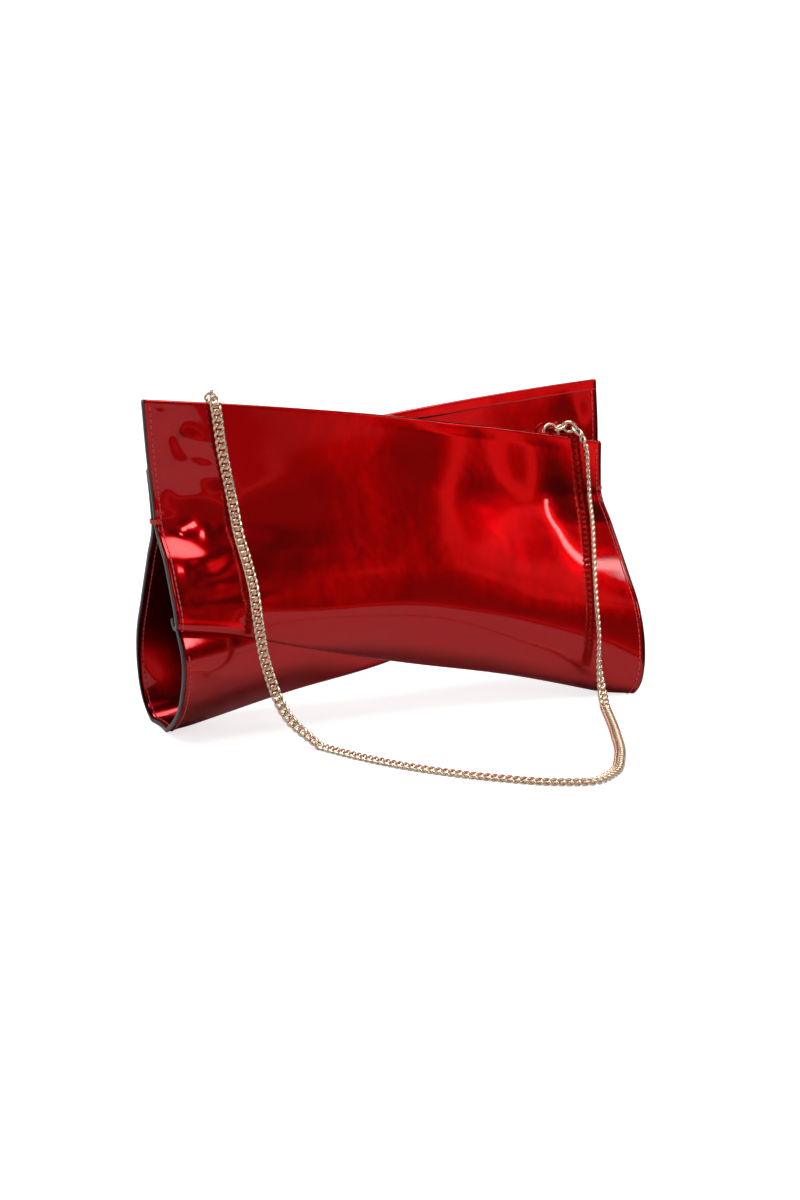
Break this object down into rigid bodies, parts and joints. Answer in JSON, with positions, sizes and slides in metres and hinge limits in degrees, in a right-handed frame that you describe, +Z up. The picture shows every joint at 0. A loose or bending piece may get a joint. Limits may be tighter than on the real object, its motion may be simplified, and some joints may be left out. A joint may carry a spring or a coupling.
{
  "type": "clutch purse",
  "caption": "Small clutch purse of two glossy leather panels that turn half round each other, with a pinch-open mouth, a magnetic snap and a thin chain strap.",
  "frame": {"origin": "On the surface it rests on, in the middle of the rectangle that the bag and its laid-out strap cover.", "axes": "+X along the bag to its right-hand end seen from the front, +Y towards the back, +Z up."},
  "size_m": [0.2658, 0.2019, 0.1694],
  "materials": {
    "patent_leather": "patent, mirror gloss",
    "patent_facing": "patent, gloss",
    "tab_leather": "satin",
    "lining": "woven, matte",
    "thread": "waxed thread",
    "gold_metal": "polished pale gold",
    "snap_metal": "satin"
  },
  "bodies": {
    "root": {"front_panel": "patent_leather", "front_facing": "patent_facing", "rear_panel_body": "patent_leather", "rear_facing_body": "patent_facing", "left_bar_tack": "thread", "right_bar_tack": "thread", "bottom_seam_tape": "lining", "pouch_front_wall": "lining", "pouch_rear_wall": "lining", "pouch_base": "lining", "pouch_side_bindings": "lining", "slip_pocket": "lining", "snap_socket": "snap_metal", "socket_backing_plate": "snap_metal", "left_ring": "gold_metal", "right_ring": "gold_metal", "left_ring_tab": "tab_leather", "right_ring_tab": "tab_leather", "left_connector_links": "gold_metal", "right_connector_links": "gold_metal"},
    "rear_mouth": {"rear_panel_mouth": "patent_leather", "rear_facing_mouth": "patent_facing", "snap_stud": "snap_metal", "stud_backing_plate": "snap_metal"},
    "left_drop": {"left_chain_drop": "gold_metal"},
    "right_drop": {"right_chain_drop": "gold_metal"},
    "floor_run": {"floor_chain_run": "gold_metal"}
  },
  "joints": [
    {"name": "mouth_open", "type": "hinge", "parent": "root", "child": "rear_mouth", "pos_m": [0, 0.07588, 0.1086], "axis": [-1, 0, 0], "range_deg": [0, 25]},
    {"name": "strap_lift", "type": "hinge", "parent": "root", "child": "left_drop", "pos_m": [-0.099, 0.06104, 0.1654], "axis": [-0.9914, -0.0102, 0.1308], "range_deg": [0, 95]},
    {"name": "right_strap_lift", "type": "hinge", "parent": "root", "child": "right_drop", "pos_m": [0.1155, 0.06324, 0.1371], "axis": [-0.9914, -0.0102, 0.1308], "range_deg": [0, 95]},
    {"name": "strap_unfold", "type": "hinge", "parent": "left_drop", "child": "floor_run", "pos_m": [-0.07, 0.00734, 0.00305], "axis": [-0.9991, 0.0433, 0], "range_deg": [-41, 0]}
  ],
  "couplings": [
    {"joint": "right_strap_lift", "follows": "strap_lift", "ratio": 1},
    {"joint": "strap_unfold", "follows": "strap_lift", "ratio": -0.43}
  ]
}
